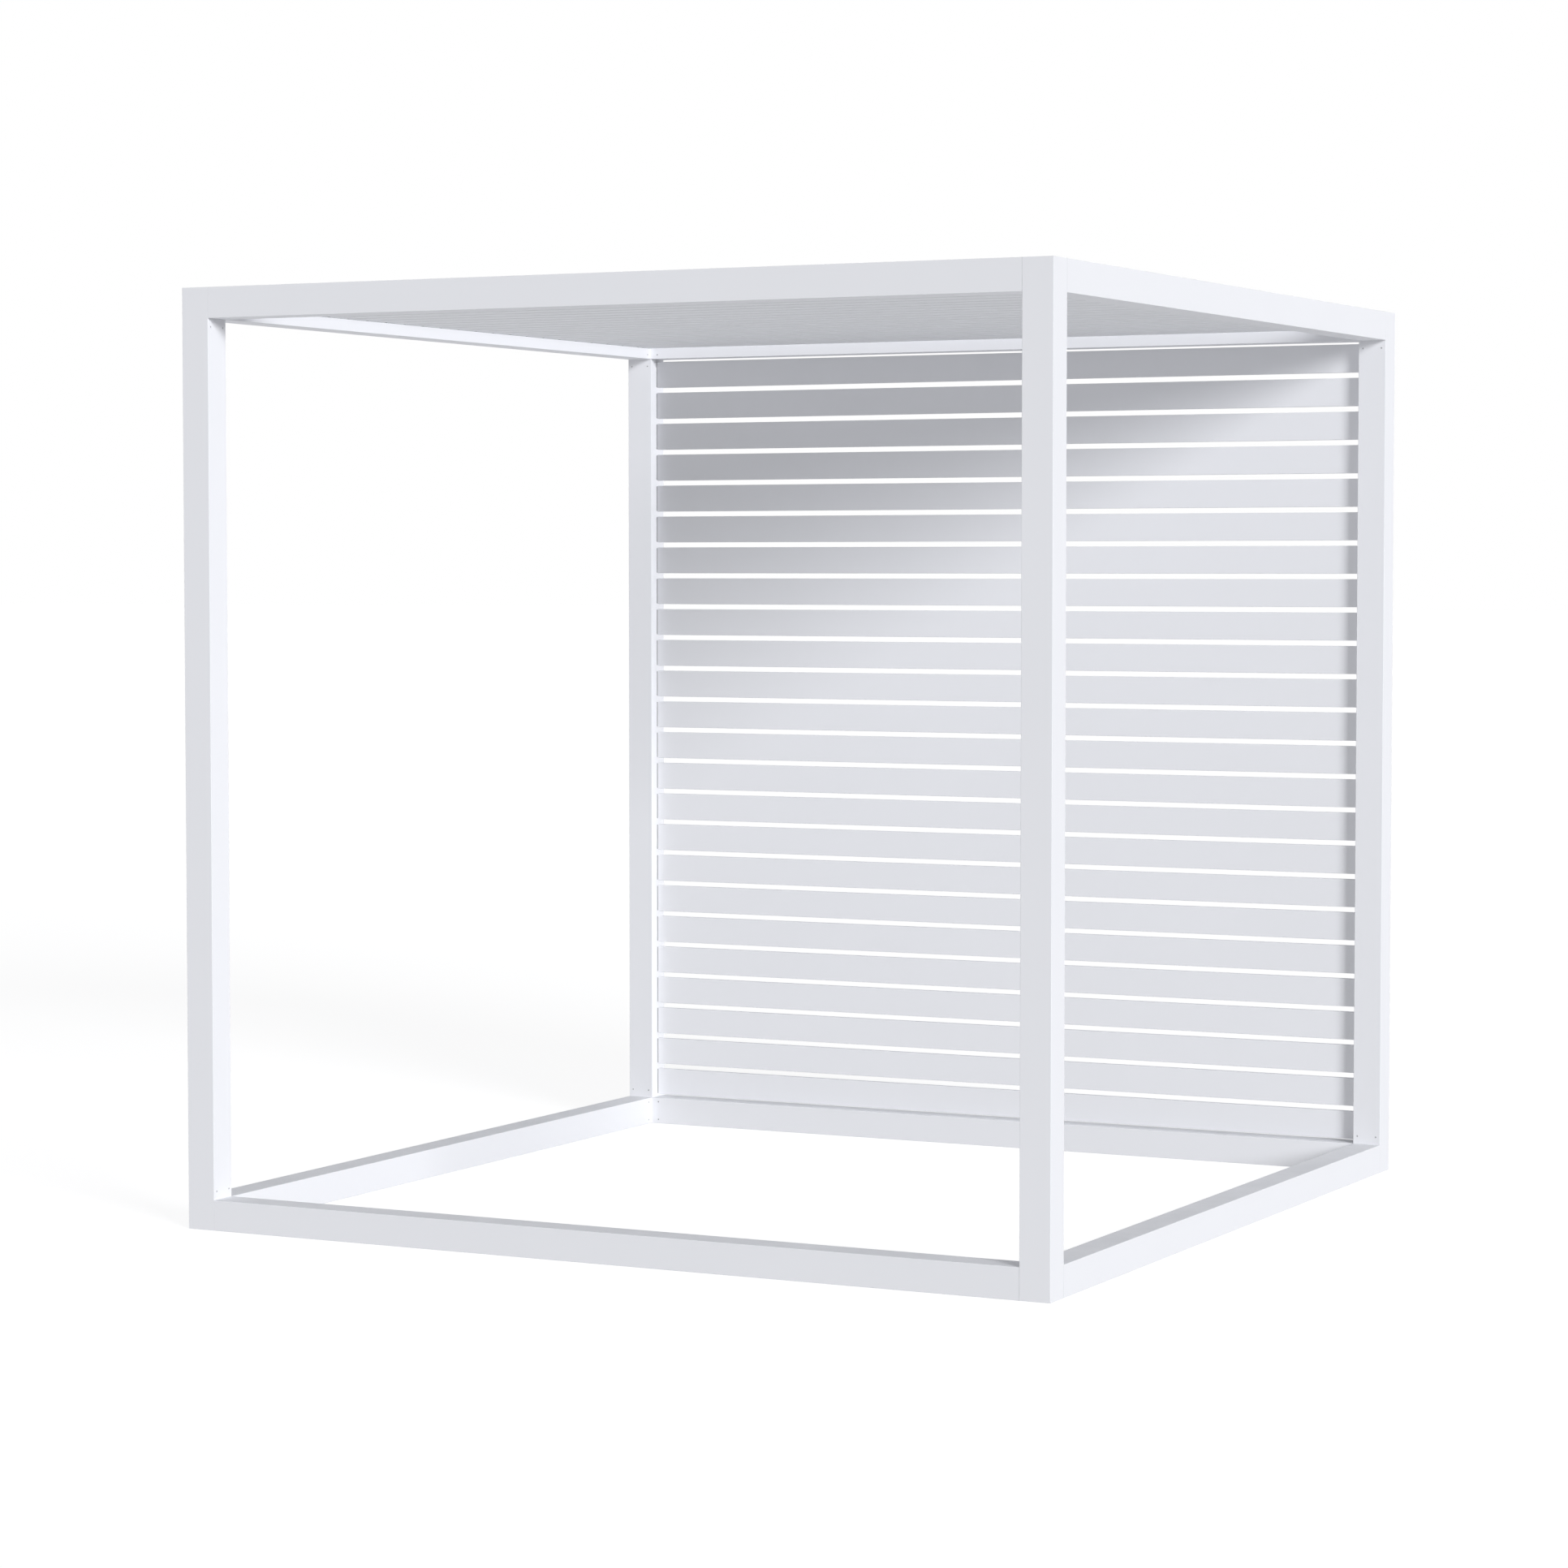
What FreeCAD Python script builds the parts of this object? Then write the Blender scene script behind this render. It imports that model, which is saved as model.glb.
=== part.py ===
"""Garden pergola: a cube of square aluminium tube with a slatted back wall and a roof of turning slats.

Millimetres. X runs along the open front, Y from the front to the slatted back, Z up.
The origin is on the ground, under the middle of the cube.
"""
import FreeCAD, Part
import math, os

from FreeCAD import Vector

# Overall size, over the outer faces of the posts
WIDTH = 2450.0
DEPTH = 2450.0
HEIGHT = 2450.0

# Square tube of the posts and beams
TUBE = 80.0
TUBE_WALL = 3.0
TUBE_EDGE = 1.2

# Three-way corner joints inside the tubes
JOINT_FIT = 0.3
JOINT_WALL = 9.0
JOINT_LEG = 60.0
JOINT_ARM = 60.0

# Plates that close the posts' ends
CAP_THICKNESS = 3.0

# Hollow slats of the wall and the roof
SLAT_WIDTH = 80.0
SLAT_THICKNESS = 16.0
SLAT_WALL = 1.8
SLAT_EDGE = 1.0
SLAT_GAP = 15.4
SLAT_END_GAP = 4.5

# Blocks in the slats' ends: spigots on the posts for the wall, pivot blocks for the roof
BLOCK_FIT = 0.2
SPIGOT_DEPTH = 40.0
PIVOT_BLOCK_DEPTH = 30.0

# Pivots of the roof slats and the strips in the side beams that carry them
PIN_RADIUS = 5.0
PIN_FIT = 0.1
PIN_OVERRUN = 2.0
SLOT_CLEARANCE = 3.0
STRIP_THICKNESS = 6.0
STRIP_FIT = 0.2
STRIP_REACH = 20.0
KEEPER_GAP = 0.3
RIB = 2.0
LIP = 3.0

# Levers on the roof slats' right ends and the link bar that lies on their heads
OPEN_ANGLE = 90.0
LEVER_RADIUS = 16.0
LEVER_THICKNESS = 6.0
LEVER_GAP = 0.8
HUB_WALL = 1.5
HEAD_RADIUS = 5.0
HEAD_FIT = 0.1
LINK_LAP = 1.0
LINK_TOP_WALL = 7.0
LINK_END_WALL = 4.0
LINK_STOP_GAP = 0.3
GEAR_CLEARANCE = 2.0

# The pivots and heads repeat so often that each is drawn with this many flats
ROUND_SIDES = 12
ROUND_STEP = 2 * math.pi / ROUND_SIDES

# The seats are round for this far to each side of their middle, with flats at the same step beside it
SEAT_STEP = math.radians(30)

# Places that follow from these sizes
INSIDE_X = WIDTH / 2 - TUBE
INSIDE_Y = DEPTH / 2 - TUBE
CLEAR_HEIGHT = HEIGHT - 2 * TUBE
POST_X = WIDTH / 2 - TUBE / 2
POST_Y = DEPTH / 2 - TUBE / 2
ROOF_AXIS = HEIGHT - TUBE / 2
BORE = TUBE - 2 * TUBE_WALL
SLAT_LENGTH = 2 * (INSIDE_X - SLAT_END_GAP)

# Rows of slats that come nearest to the gap, spread evenly with half a gap at each end of the row
ROOF_COUNT = round(2 * INSIDE_Y / (SLAT_WIDTH + SLAT_GAP))
ROOF_PITCH = 2 * INSIDE_Y / ROOF_COUNT
WALL_COUNT = round(CLEAR_HEIGHT / (SLAT_WIDTH + SLAT_GAP))
WALL_PITCH = CLEAR_HEIGHT / WALL_COUNT

# Half the width and half the thickness of the blocks that fit in a slat
BLOCK_WIDE = SLAT_WIDTH / 2 - SLAT_WALL - BLOCK_FIT
BLOCK_HIGH = SLAT_THICKNESS / 2 - SLAT_WALL - BLOCK_FIT

# Depths in a side beam of the roof, from its inner face outwards
STRIP_BACK = TUBE_WALL + STRIP_THICKNESS
LIP_FRONT = STRIP_BACK + STRIP_FIT
LIP_BACK = LIP_FRONT + RIB
LEVER_FRONT = LIP_BACK + LEVER_GAP
LEVER_BACK = LEVER_FRONT + LEVER_THICKNESS

# The levers lean this far to the back when the roof is closed, and as far to the front when it is open
LEVER_LEAN = math.radians(OPEN_ANGLE / 2)
LEVER_SHIFT = LEVER_RADIUS * math.sin(LEVER_LEAN)
LEVER_RISE = LEVER_RADIUS * math.cos(LEVER_LEAN)

# The link bar reaches past its outer seats and stops against the joints' arms, which end here
LINK_END = HEAD_RADIUS + HEAD_FIT + LINK_END_WALL
SHORT_ARM = ROOF_PITCH / 2 - LEVER_SHIFT - LINK_END - LINK_STOP_GAP
STRIP_END = INSIDE_Y - SHORT_ARM - LINK_STOP_GAP

SIDES = {"left": -1, "right": 1}
ENDS = {"front": -1, "back": 1}


def slab(x, y, z):
    """Box between pairs of bounds, given in either order."""
    low = Vector(min(x), min(y), min(z))
    return Part.makeBox(abs(x[1] - x[0]), abs(y[1] - y[0]), abs(z[1] - z[0]), low)


def around(centre, half):
    """Bounds at a distance to each side of a centre."""
    return (centre - half, centre + half)


def across_x(x):
    """Places a flat point (y, z) in the plane at x."""
    return lambda u, v: Vector(x, u, v)


def across_y(y):
    """Places a flat point (z, x) in the plane at y."""
    return lambda u, v: Vector(v, y, u)


def across_z(z):
    """Places a flat point (x, y) in the plane at z."""
    return lambda u, v: Vector(u, v, z)


def outline(corners, place):
    """Closed wire through corners (u, v, radius); a radius rounds its corner with a tangent arc."""
    runs = []
    for i, (u, v, radius) in enumerate(corners):
        corner = Vector(u, v, 0)
        to_last = (Vector(*corners[i - 1][:2], 0) - corner).normalize()
        to_next = (Vector(*corners[(i + 1) % len(corners)][:2], 0) - corner).normalize()
        half = to_last.getAngle(to_next) / 2
        setback = radius / math.tan(half)
        middle = corner + (to_last + to_next).normalize() * radius * (1 / math.sin(half) - 1)
        runs.append((corner + to_last * setback, middle, corner + to_next * setback, radius))
    edges = []
    for i, (start, middle, end, radius) in enumerate(runs):
        if radius:
            arc = [place(point.x, point.y) for point in (start, middle, end)]
            edges.append(Part.Arc(*arc).toShape())
        following = runs[(i + 1) % len(runs)][0]
        edges.append(Part.makeLine(place(end.x, end.y), place(following.x, following.y)))
    return Part.Wire(edges)


def rectangle(width, height, centre, radius=0):
    """Corners of a rectangle about a centre, all with one radius."""
    u, v = centre
    signs = [(1, 1), (-1, 1), (-1, -1), (1, -1)]
    return [(u + a * width / 2, v + b * height / 2, radius) for a, b in signs]


def cut_rectangle(width, height, centre, cut):
    """Corners of a rectangle about a centre, with each of its corners cut off at a slant."""
    u, v = centre
    wide, high = width / 2, height / 2
    quarter = [(wide, high - cut), (wide - cut, high)]
    half = quarter + [(-a, b) for a, b in reversed(quarter)]
    whole = half + [(-a, -b) for a, b in half]
    return [(u + a, v + b, 0) for a, b in whole]


def hollow(outer, bore, place, run):
    """Hollow profile between two lists of corners, drawn out along run."""
    wires = [outline(outer, place), outline(bore, place)]
    return Part.makeFace(wires, "Part::FaceMakerBullseye").extrude(run)


def prism(points, run):
    """Solid with straight-edged ends through points, drawn out along run."""
    return Part.Face(Part.makePolygon(points + points[:1])).extrude(run)


def round_points(radius, first, last):
    """Points (u, v) of a round about zero, drawn with flats, from one step round it to another."""
    steps = range(first, last + 1)
    return [(radius * math.cos(i * ROUND_STEP), radius * math.sin(i * ROUND_STEP)) for i in steps]


def tube(centre, place, run):
    """Length of the frame's square tube along run, its section about a centre in the plane of place."""
    outer = rectangle(TUBE, TUBE, centre, TUBE_EDGE)
    return hollow(outer, rectangle(BORE, BORE, centre), place, run)


def post(side, end):
    """Full-height post, with its two inner walls cut away where a corner joint's arms pass into the beams."""
    body = tube((side * POST_X, end * POST_Y), across_z(0), Vector(0, 0, HEIGHT))
    wall_x = (side * INSIDE_X, side * (INSIDE_X + TUBE_WALL))
    wall_y = (end * INSIDE_Y, end * (INSIDE_Y + TUBE_WALL))
    span_x = (side * INSIDE_X, side * (INSIDE_X + TUBE_WALL + BORE))
    span_y = (end * INSIDE_Y, end * (INSIDE_Y + TUBE_WALL + BORE))
    cuts = []
    for z in ((0, TUBE - TUBE_WALL), (HEIGHT - TUBE + TUBE_WALL, HEIGHT)):
        cuts.append(slab(wall_x, span_y, z))
        cuts.append(slab(span_x, wall_y, z))
    return body.cut(cuts)


def cross_beam(end, height):
    """Front or back beam between the posts, with its axis at a height."""
    return tube((end * POST_Y, height), across_x(-INSIDE_X), Vector(2 * INSIDE_X, 0, 0))


def side_beam(side, height):
    """Left or right beam between the posts, with its axis at a height."""
    return tube((height, side * POST_X), across_y(-INSIDE_Y), Vector(0, 2 * INSIDE_Y, 0))


def bearing_beam(side):
    """Side beam of the roof: its inner wall is slotted for the pivots and ribbed inside to hold the strips.

    The section is drawn as (height from the beam's axis, depth from its inner face). The ribs are milled off
    at the ends to let the corner joints in.
    """
    slot = PIN_RADIUS + SLOT_CLEARANCE
    rib_out = STRIP_REACH + RIB
    lip_end = STRIP_REACH - LIP
    upper = [
        (slot, 0, 0),
        (slot, TUBE_WALL, 0),
        (STRIP_REACH, TUBE_WALL, 0),
        (STRIP_REACH, LIP_FRONT, 0),
        (lip_end, LIP_FRONT, 0),
        (lip_end, LIP_BACK, 0),
        (rib_out, LIP_BACK, 0),
        (rib_out, TUBE_WALL, 0),
        (BORE / 2, TUBE_WALL, 0),
        (BORE / 2, TUBE - TUBE_WALL, 0),
    ]
    lower = [(-height, depth, radius) for height, depth, radius in reversed(upper)]
    outside = [(-TUBE / 2, 0, TUBE_EDGE), (-TUBE / 2, TUBE, TUBE_EDGE)]
    outside += [(TUBE / 2, TUBE, TUBE_EDGE), (TUBE / 2, 0, TUBE_EDGE)]
    section = []
    for height, depth, radius in upper + lower + outside:
        section.append((ROOF_AXIS + height, side * (INSIDE_X + depth), radius))
    body = Part.Face(outline(section, across_y(-INSIDE_Y))).extrude(Vector(0, 2 * INSIDE_Y, 0))

    ribs_x = (side * (INSIDE_X + TUBE_WALL), side * (INSIDE_X + LIP_BACK))
    ribs_z = around(ROOF_AXIS, BORE / 2)
    cuts = [slab(ribs_x, (end * INSIDE_Y, end * STRIP_END), ribs_z) for end in ENDS.values()]
    return body.cut(cuts)


def corner_joint(side, end, top):
    """Three-way hollow casting: a leg in the post and an arm in each of the two beams that meet there.

    At the top, the arm in the side beam is cut back on its inner half to leave room for the link bar.
    """
    up = 1 if top else -1
    ring = ROOF_AXIS if top else TUBE / 2
    half = BORE / 2 - JOINT_FIT
    crown = ring + up * (TUBE / 2 - CAP_THICKNESS)
    arm_crown = ring + up * min(half, TUBE / 2 - CAP_THICKNESS)
    leg_end = ring - up * (TUBE / 2 + JOINT_LEG)
    arm_z = (ring - up * half, arm_crown)
    cross_x = (side * POST_X, side * (INSIDE_X - JOINT_ARM))
    along_y = (end * POST_Y, end * (INSIDE_Y - JOINT_ARM))

    leg = slab(around(side * POST_X, half), around(end * POST_Y, half), (leg_end, crown))
    cross = slab(cross_x, around(end * POST_Y, half), arm_z)
    along = slab(around(side * POST_X, half), along_y, arm_z)
    if top:
        gear_x = (side * INSIDE_X, side * (INSIDE_X + LEVER_BACK + GEAR_CLEARANCE))
        gear_y = (end * (INSIDE_Y - SHORT_ARM), end * (INSIDE_Y - JOINT_ARM))
        along = along.cut(slab(gear_x, gear_y, arm_z))

    core = half - JOINT_WALL
    leg_z = (leg_end, crown - up * JOINT_WALL)
    leg_bore = slab(around(side * POST_X, core), around(end * POST_Y, core), leg_z)
    cross_bore = slab(cross_x, around(end * POST_Y, core), around(ring, core))
    along_bore = slab(around(side * POST_X, core), along_y, around(ring, core))
    return leg.fuse([cross, along]).cut([leg_bore, cross_bore, along_bore]).removeSplitter()


def end_plate(side, end, top):
    """Plate that closes a post's end, flush with it, over the opening that the corner joint goes in by."""
    x = (side * (INSIDE_X + JOINT_FIT), side * (WIDTH / 2 - TUBE_WALL - JOINT_FIT))
    y = (end * (INSIDE_Y + JOINT_FIT), end * (DEPTH / 2 - TUBE_WALL - JOINT_FIT))
    z = (HEIGHT - CAP_THICKNESS, HEIGHT) if top else (0, CAP_THICKNESS)
    return slab(x, y, z)


def slat(centre, width, height):
    """Hollow slat along X with broken edges, its section about a centre (y, z)."""
    outer = cut_rectangle(width, height, centre, SLAT_EDGE)
    bore = rectangle(width - 2 * SLAT_WALL, height - 2 * SLAT_WALL, centre)
    return hollow(outer, bore, across_x(-SLAT_LENGTH / 2), Vector(SLAT_LENGTH, 0, 0))


def wall_height(row):
    """Height of a wall slat's middle, counted from the lowest."""
    return TUBE + WALL_PITCH * (row + 0.5)


def wall_slat(row):
    """Fixed slat of the back wall, upright in the middle of the posts' depth."""
    return slat((POST_Y, wall_height(row)), SLAT_THICKNESS, SLAT_WIDTH)


def wall_spigot(side, row):
    """Block on a post's inner face that a wall slat's end is pushed over."""
    x = (side * INSIDE_X, side * (INSIDE_X - SLAT_END_GAP - SPIGOT_DEPTH))
    return slab(x, around(POST_Y, BLOCK_HIGH), around(wall_height(row), BLOCK_WIDE))


def roof_place(row):
    """Depth of a roof slat's pivot, counted from the front."""
    return -INSIDE_Y + ROOF_PITCH * (row + 0.5)


def roof_slat(row):
    """Turning slat of the roof, flat when the roof is closed, with a pivot block in each end."""
    y = roof_place(row)
    body = slat((y, ROOF_AXIS), SLAT_WIDTH, SLAT_THICKNESS)
    left = pivot_block(-1, y, STRIP_BACK + PIN_OVERRUN)
    right = pivot_block(1, y, LEVER_FRONT).fuse(lever(y))
    return Part.makeCompound([body, left, right.removeSplitter()])


def pivot_block(side, y, reach):
    """Block in a roof slat's end, with a pin that reaches into the side beam."""
    face = side * SLAT_LENGTH / 2
    block_x = (face, face - side * PIVOT_BLOCK_DEPTH)
    block = slab(block_x, around(y, BLOCK_WIDE), around(ROOF_AXIS, BLOCK_HIGH))
    points = [Vector(face, y + u, ROOF_AXIS + v) for u, v in round_points(PIN_RADIUS, 1, ROUND_SIDES)]
    return block.fuse(prism(points, Vector(side * (SLAT_END_GAP + reach), 0, 0)))


def lever(y):
    """Flat lever on the end of a slat's right pin: a square hub, a neck and a head for the link bar."""
    hub = PIN_RADIUS + HUB_WALL
    head_steps = ROUND_SIDES // 2 - 1
    head = [(LEVER_RADIUS + u, v) for u, v in round_points(HEAD_RADIUS, -head_steps, head_steps)]
    neck_end, neck = head[-1]
    shoulder = [((hub + neck_end) / 2, neck), (hub / 2, hub), (-hub, hub)]
    points = []
    for out, aside in head + shoulder + [(u, -v) for u, v in reversed(shoulder)]:
        back = out * math.sin(LEVER_LEAN) - aside * math.cos(LEVER_LEAN)
        rise = out * math.cos(LEVER_LEAN) + aside * math.sin(LEVER_LEAN)
        points.append(Vector(INSIDE_X + LEVER_FRONT, y + back, ROOF_AXIS + rise))
    return prism(points, Vector(LEVER_THICKNESS, 0, 0))


def seat_corners(radius, flats, lap):
    """Corners (u, v, rounding) of a seat about zero, with a number of flats at each side of its round middle.

    The round and the flats just clear a radius, and the mouth lies a lap past the centre.
    """
    slope = math.pi / 2 - SEAT_STEP * flats
    mouth = (radius + lap * math.sin(slope)) / math.cos(slope)
    half = [(mouth, -lap, 0)]
    reach = radius / math.cos(SEAT_STEP / 2)
    for i in range(1, flats):
        turn = slope + SEAT_STEP * (i - 0.5)
        half.append((reach * math.cos(turn), reach * math.sin(turn), 0))
    middle = (0, radius / math.cos(SEAT_STEP), radius)
    return half + [middle] + [(-u, v, 0) for u, v, _ in reversed(half)]


def seated_bar(x, ends, flat, axis, seat, centres):
    """Bar along Y with one flat side and a row of seats in the other, centred at the height of an axis."""
    inward = math.copysign(1, flat - axis)
    edge = axis + inward * seat[0][1]
    corners = [(ends[0], flat, 0), (ends[0], edge, 0)]
    for y in centres:
        corners += [(y - u, axis + inward * v, rounding) for u, v, rounding in seat]
    corners += [(ends[1], edge, 0), (ends[1], flat, 0)]
    return Part.Face(outline(corners, across_x(x[0]))).extrude(Vector(x[1] - x[0], 0, 0))


def bearing_strip(side):
    """Plastic strip on a side beam's lower rib, with a seat for each pivot."""
    x = (side * (INSIDE_X + TUBE_WALL), side * (INSIDE_X + STRIP_BACK))
    pivots = [roof_place(row) for row in range(ROOF_COUNT)]
    seat = seat_corners(PIN_RADIUS + PIN_FIT, 2, 0)
    return seated_bar(x, (-STRIP_END, STRIP_END), ROOF_AXIS - STRIP_REACH, ROOF_AXIS, seat, pivots)


def keeper_strip(side):
    """Plastic strip under a side beam's upper rib that keeps the pivots down in their seats."""
    x = (side * (INSIDE_X + TUBE_WALL), side * (INSIDE_X + STRIP_BACK))
    z = (ROOF_AXIS + PIN_RADIUS + KEEPER_GAP, ROOF_AXIS + STRIP_REACH)
    return slab(x, (-STRIP_END, STRIP_END), z)


def link_bar():
    """Bar that lies on the levers' heads and turns all the roof slats together; its ends are the stops."""
    x = (INSIDE_X + LEVER_FRONT, INSIDE_X + LEVER_BACK)
    heads = [roof_place(row) + LEVER_SHIFT for row in range(ROOF_COUNT)]
    ends = (heads[0] - LINK_END, heads[-1] + LINK_END)
    radius = HEAD_RADIUS + HEAD_FIT
    axis = ROOF_AXIS + LEVER_RISE
    seat = seat_corners(radius, 3, LINK_LAP)
    return seated_bar(x, ends, axis + radius + LINK_TOP_WALL, axis, seat, heads)


def frame_pieces():
    """Posts, beams, corner joints and end plates, by name."""
    pieces = {}
    caps, feet = [], []
    for end_name, end in ENDS.items():
        pieces[f"top_beam_{end_name}"] = cross_beam(end, ROOF_AXIS)
        pieces[f"base_beam_{end_name}"] = cross_beam(end, TUBE / 2)
        for side_name, side in SIDES.items():
            corner = f"{end_name}_{side_name}"
            pieces[f"post_{corner}"] = post(side, end)
            pieces[f"corner_joint_top_{corner}"] = corner_joint(side, end, True)
            pieces[f"corner_joint_base_{corner}"] = corner_joint(side, end, False)
            caps.append(end_plate(side, end, True))
            feet.append(end_plate(side, end, False))
    for side_name, side in SIDES.items():
        pieces[f"top_beam_{side_name}"] = bearing_beam(side)
        pieces[f"base_beam_{side_name}"] = side_beam(side, TUBE / 2)
    pieces["post_caps"] = Part.makeCompound(caps)
    pieces["post_feet"] = Part.makeCompound(feet)
    return pieces


def wall_pieces():
    """Fixed slats of the back wall and the spigots that carry them, by name."""
    rows = range(WALL_COUNT)
    pieces = {"wall_slats": Part.makeCompound([wall_slat(row) for row in rows])}
    for side_name, side in SIDES.items():
        pieces[f"wall_spigots_{side_name}"] = Part.makeCompound([wall_spigot(side, row) for row in rows])
    return pieces


def roof_pieces():
    """Turning slats, the strips they turn in and the link bar, by name."""
    pieces = {f"roof_slat_{row + 1:02d}": roof_slat(row) for row in range(ROOF_COUNT)}
    for side_name, side in SIDES.items():
        pieces[f"bearing_strip_{side_name}"] = bearing_strip(side)
        pieces[f"keeper_strip_{side_name}"] = keeper_strip(side)
    pieces["link_bar"] = link_bar()
    return pieces


def main():
    """Builds every piece and writes each to its own file."""
    os.makedirs("parts", exist_ok=True)
    for name, shape in {**frame_pieces(), **wall_pieces(), **roof_pieces()}.items():
        shape.exportStep(os.path.join("parts", f"{name}.step"))


main()
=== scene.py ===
"""Looks of a cube-shaped garden pergola: finishes, set screws, joint lines and a plain studio round it."""
import math

import bmesh
import bpy
from bpy.props import FloatProperty, FloatVectorProperty, IntProperty, PointerProperty
from bpy.types import Operator, Panel, PropertyGroup
from mathutils import Matrix, Vector


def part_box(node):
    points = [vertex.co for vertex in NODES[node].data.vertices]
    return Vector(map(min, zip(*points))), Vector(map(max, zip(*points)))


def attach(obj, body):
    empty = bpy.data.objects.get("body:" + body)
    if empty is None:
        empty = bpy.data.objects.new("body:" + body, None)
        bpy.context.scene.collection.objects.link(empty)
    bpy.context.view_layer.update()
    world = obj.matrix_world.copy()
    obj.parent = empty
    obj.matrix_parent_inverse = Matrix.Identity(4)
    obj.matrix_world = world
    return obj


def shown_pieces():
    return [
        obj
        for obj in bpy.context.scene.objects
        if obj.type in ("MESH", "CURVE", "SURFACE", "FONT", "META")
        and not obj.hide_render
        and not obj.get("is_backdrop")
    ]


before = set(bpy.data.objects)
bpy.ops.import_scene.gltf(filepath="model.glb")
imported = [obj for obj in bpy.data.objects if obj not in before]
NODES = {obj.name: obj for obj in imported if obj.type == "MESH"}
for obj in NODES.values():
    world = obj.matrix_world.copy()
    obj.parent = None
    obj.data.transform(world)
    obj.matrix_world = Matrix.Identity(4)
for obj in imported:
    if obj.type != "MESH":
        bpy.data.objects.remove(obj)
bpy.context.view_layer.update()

bl_info = {
    "name": "Garden Pergola",
    "version": (1, 0, 0),
    "blender": (4, 5, 0),
    "location": "3D View > Sidebar > Pergola",
    "description": "Finishes, set screws, joint lines and a studio for a slatted garden pergola",
    "category": "Object",
}

MM = 0.001

ROUGHNESS_SPREAD = 0.05
BUMP_STRENGTH = 0.6
SCREW_SIDES = 24
SOCKET_SIDES = 6
FLOOR_REACH = 150
FLOOR_GAP = 0.5 * MM
HORIZON_BLEND = 0.1
LAMP_DISTANCE = 10

POST_LOW, POST_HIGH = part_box("post_front_left")
TUBE = POST_HIGH.x - POST_LOW.x

LEVELS = ("top", "base")
SIDES = ("left", "right")
ENDS = ("front", "back")
POSTS = [f"post_{end}_{side}" for end in ENDS for side in SIDES]
BEAMS = [f"{level}_beam_{place}" for level in LEVELS for place in ENDS + SIDES]
ROOF_SLATS = sorted(name for name in NODES if name.startswith("roof_slat_"))
CORNER_JOINTS = sorted(name for name in NODES if name.startswith("corner_joint_"))
SPIGOTS = [f"wall_spigots_{side}" for side in SIDES]
SLATTED = ROOF_SLATS + SPIGOTS + ["wall_slats"]


class CoatSettings(PropertyGroup):
    """White powder coating of the tubes and slats."""

    colour: FloatVectorProperty(
        name="Colour", description="Colour of the coating",
        subtype="COLOR", size=3, min=0, max=1, default=(0.858, 0.864, 0.888))
    # on the coating the dust colour and amount are partly real dust and partly painted shade that darkens
    # the faces looking up
    dust: FloatVectorProperty(
        name="Dust", description="Colour of the thin dust on faces that look up",
        subtype="COLOR", size=3, min=0, max=1, default=(0.685, 0.695, 0.72))
    dust_and_top_shade_amount: FloatProperty(
        name="Dust Amount", description="How far the dust hides the coating where it lies thickest",
        subtype="FACTOR", min=0, max=1, default=0.70)
    peel: FloatProperty(
        name="Peel", description="Width of the ripples in the coating",
        unit="LENGTH", default=2.2 * MM)
    roughness: FloatProperty(
        name="Roughness", description="Mean roughness of the coating",
        subtype="FACTOR", min=0, max=1, default=0.75)
    shine: FloatProperty(
        name="Shine", description="Strength of the reflections; 0.5 is usual for paint and plastic",
        subtype="FACTOR", min=0, max=1, default=0.2)


class FittingSettings(PropertyGroup):
    """Finishes of the joints, strips and blocks inside the tubes and slats."""

    aluminium: FloatVectorProperty(
        name="Aluminium", description="Colour of the bare castings and the link bar",
        subtype="COLOR", size=3, min=0, max=1, default=(0.62, 0.63, 0.64))
    # this grey is painted shade of the gaps at the wall slats' ends; the blocks themselves are white plastic
    white_plastic: FloatVectorProperty(
        name="White Plastic", description="Colour of the blocks in the wall slats' ends, dulled by dirt",
        subtype="COLOR", size=3, min=0, max=1, default=(0.50, 0.50, 0.50))
    dark_plastic: FloatVectorProperty(
        name="Dark Plastic", description="Colour of the bearing strips and the posts' feet",
        subtype="COLOR", size=3, min=0, max=1, default=(0.06, 0.06, 0.065))
    strip_dust: FloatVectorProperty(
        name="Strip Dust", description="Colour of the thin dust on the dark plastic",
        subtype="COLOR", size=3, min=0, max=1, default=(0.30, 0.30, 0.29))


class ScrewSettings(PropertyGroup):
    """Set screws that hold the tubes to the corner joints."""

    steel: FloatVectorProperty(
        name="Steel", description="Colour of the zinc-plated screw ends",
        subtype="COLOR", size=3, min=0, max=1, default=(0.66, 0.67, 0.69))
    steel_edge: FloatVectorProperty(
        name="Steel Edge", description="Colour of the steel where it is rubbed bright",
        subtype="COLOR", size=3, min=0, max=1, default=(0.78, 0.78, 0.79))
    # the dark inside the sockets and in the groove round each screw is painted shade
    socket_shade_colour: FloatVectorProperty(
        name="Socket Colour", description="Colour inside the sockets",
        subtype="COLOR", size=3, min=0, max=1, default=(0.20, 0.20, 0.205))
    diameter: FloatProperty(
        name="Diameter", description="Diameter of a screw's visible end",
        unit="LENGTH", default=5.2 * MM)
    rim: FloatProperty(
        name="Rim", description="Width of the coated rim round a screw hole",
        unit="LENGTH", default=0.8 * MM)
    proud: FloatProperty(
        name="Proud", description="Height of the rim above the tube",
        unit="LENGTH", default=0.5 * MM)
    sunk: FloatProperty(
        name="Sunk", description="Depth of the rim's foot below the tube's face",
        unit="LENGTH", default=0.2 * MM)
    socket: FloatProperty(
        name="Socket", description="Width across the flats of the hexagon socket",
        unit="LENGTH", default=2.5 * MM)
    from_joint: FloatProperty(
        name="From Joint", description="Distance from the joint line to a screw's middle",
        unit="LENGTH", default=22.0 * MM)
    from_edge: FloatProperty(
        name="From Edge", description="Distance from the tube's edge to a screw's middle",
        unit="LENGTH", default=12.5 * MM)


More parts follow.
